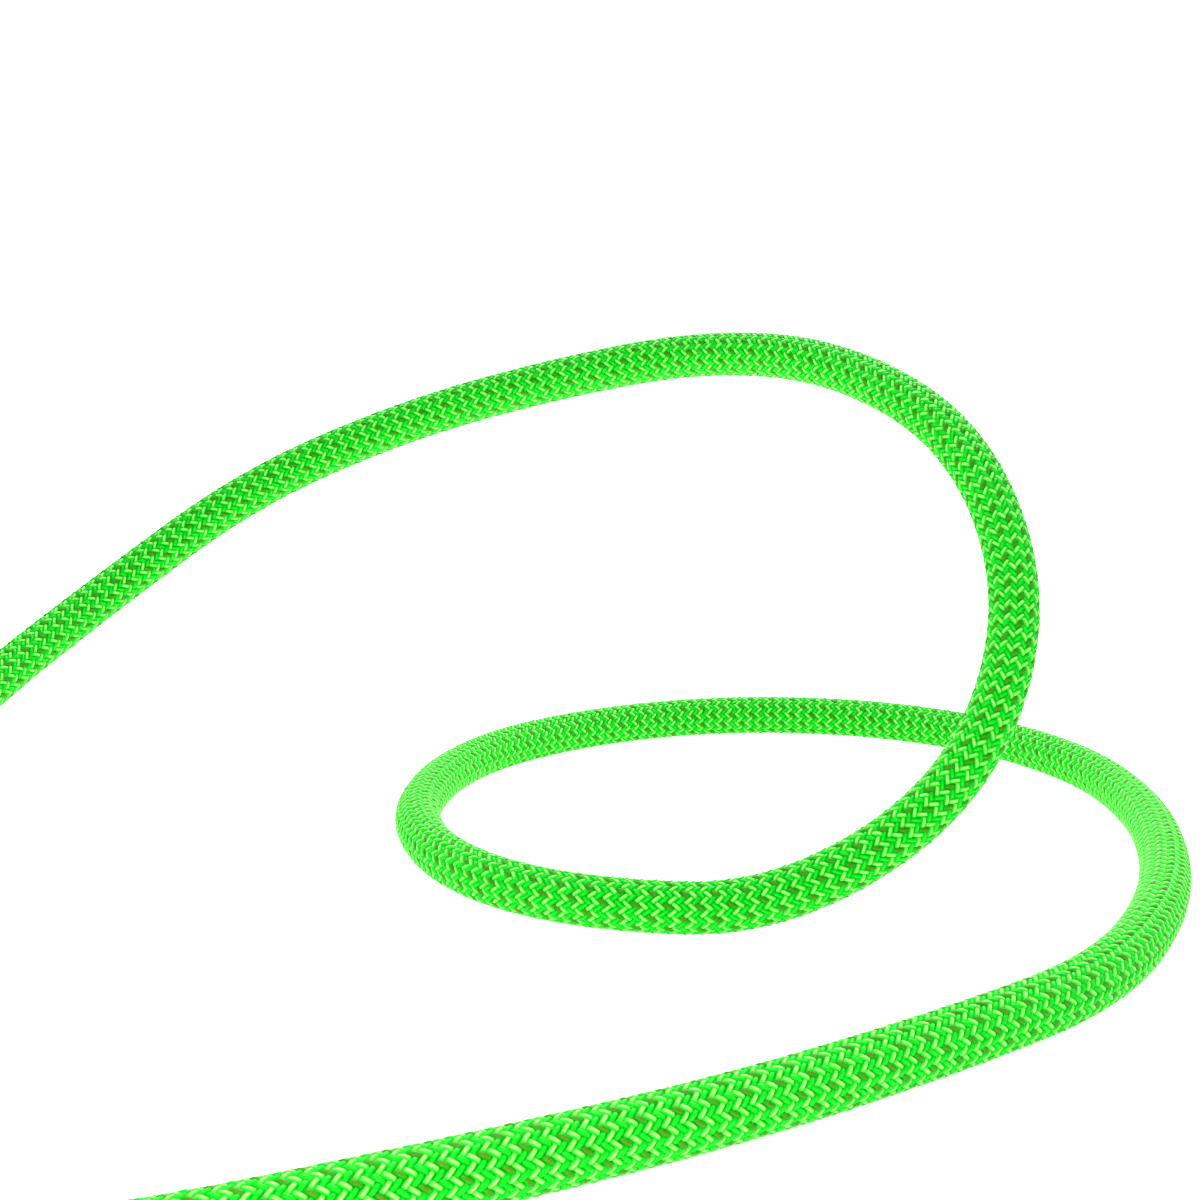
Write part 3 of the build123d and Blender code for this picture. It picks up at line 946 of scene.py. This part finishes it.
def pad(number, tie, section):
    """A sewn pad on the strap: a soft slab with a row of stitches near its edge."""
    top = section[:, 1].max() + ROPE_R + STRAP_CLEAR + STRAP_T
    outline, _ = rounded_outline(PAD_L / 2, STRAP_HALF_W + 0.4 * MM, 3 * MM, 96)
    rings = []
    for scale, height in PAD_PROFILE:
        inset = (1 - scale) * STRAP_HALF_W
        shrunk = outline * (1 - inset / np.array([PAD_L / 2, STRAP_HALF_W]))
        level = np.full(len(outline), top + height * MM)
        rings.append(bent_round(tie, MID_TURN_R + shrunk[:, 0], shrunk[:, 1], level))
    points, faces = tube(np.array(rings))
    seam, _ = rounded_outline(PAD_L / 2 - 2.2 * MM, STRAP_HALF_W - 1.6 * MM, 1.5 * MM, 40)
    nexts = np.roll(seam, -1, 0)
    turn = np.linspace(0, 2 * math.pi, 7)[:-1]
    for here, there in zip(seam, nexts):
        along = (there - here) / np.linalg.norm(there - here)
        aside = np.array([-along[1], along[0]])
        rings = []
        for share, thick, lift in STITCH:
            middle_point = here + (there - here) * share
            flat = middle_point + aside * (np.cos(turn) * thick * MM)[:, None]
            rise = top + (lift + np.sin(turn) * thick * 0.8) * MM
            rings.append(bent_round(tie, MID_TURN_R + flat[:, 0], flat[:, 1], rise))
        more, more_faces = tube(np.array(rings))
        faces = [np.concatenate([old, new + len(points)]) for old, new in zip(faces, more_faces)]
        points = np.concatenate([points, more])
    slabs = len(outline)
    quads_in_slab = (len(PAD_PROFILE) - 1) * slabs
    part = np.concatenate([
        (np.arange(len(faces[0])) >= quads_in_slab).astype(int),
        (np.arange(len(faces[1])) >= 2 * slabs).astype(int),
    ])
    thing = mesh_object(f"closing_pad_{number}", points, faces, None, part)
    return piece(thing, "tie_pad", [pad_cloth, thread], f"tie_pad_{number}")


webbing, pad_cloth, thread = webbing_material(), pad_material(), thread_material()
straps, pads = [], []
for number, tie in enumerate(TIE_ANGLES):
    section = pile_section(tie)
    straps.append(strap(number + 1, tie, section))
    pads.append(pad(number + 1, tie, section))

# ---- Camera, floor and light ---------------------------------------------------------------------
CAMERA_AT = (181 * MM, -340 * MM, 111.65 * MM)
CAMERA_DOWN = math.radians(8.706)
LENS = 58.5
FLOOR_SIZE = 60.0               # so wide that its edge stays out of low views
FLOOR_DROP = 0.4 * MM           # the floor lies just under the lowest yarns

camera = bpy.data.objects.new("camera", bpy.data.cameras.new("camera"))
camera.location = CAMERA_AT
camera.rotation_euler = (math.pi / 2 - CAMERA_DOWN, 0, 0)
camera.data.lens = LENS
camera.data.sensor_width = 36
camera.data.clip_start = 0.01
bpy.context.scene.collection.objects.link(camera)
bpy.context.scene.camera = camera


def area_light(name, place, target, size, power):
    """A soft box that looks at a target."""
    lamp = bpy.data.lights.new(name, "AREA")
    lamp.shape = "SQUARE"
    lamp.size = size
    lamp.energy = power
    holder = bpy.data.objects.new(name, lamp)
    holder.location = place
    holder.visible_camera = False
    holder.rotation_euler = (Vector(target) - Vector(place)).to_track_quat("-Z", "Y").to_euler()
    bpy.context.scene.collection.objects.link(holder)


area_light("softbox_back", (0.30, 0.85, 0.95), (0.12, 0.05, 0.03), 0.9, 32.0)
area_light("softbox_front", (0.13, -0.33, 0.17), (0.13, -0.13, 0.0), 0.16, 1.05)

world = bpy.data.worlds.new("studio")
bpy.context.scene.world = world
world.use_nodes = True
nodes, links = world.node_tree.nodes, world.node_tree.links
backdrop = nodes["Background"]
directions = nodes.new("ShaderNodeTexCoord")
split = nodes.new("ShaderNodeSeparateXYZ")
links.new(directions.outputs["Generated"], split.inputs[0])
stronger = nodes.new("ShaderNodeMath")
stronger.operation = "MAXIMUM"
for number, (axis, limits) in enumerate((("Y", (-0.35, 0.25, 0.30, 1.08)), ("Z", (0.06, 0.26, 1.05, 0.0)))):
    fade = nodes.new("ShaderNodeMapRange")
    for socket, limit in zip(fade.inputs[1:5], limits):
        socket.default_value = limit
    links.new(split.outputs[axis], fade.inputs[0])
    links.new(fade.outputs[0], stronger.inputs[number])
links.new(stronger.outputs[0], backdrop.inputs["Strength"])
backdrop.inputs["Color"].default_value = (1, 1, 1, 1)

bpy.ops.mesh.primitive_plane_add(size=FLOOR_SIZE, location=(0, 0, -FLOOR_DROP))
floor = bpy.context.object
floor.name = "floor"
floor.data.materials.append(floor_material())
bpy.context.scene.view_settings.view_transform = "Standard"
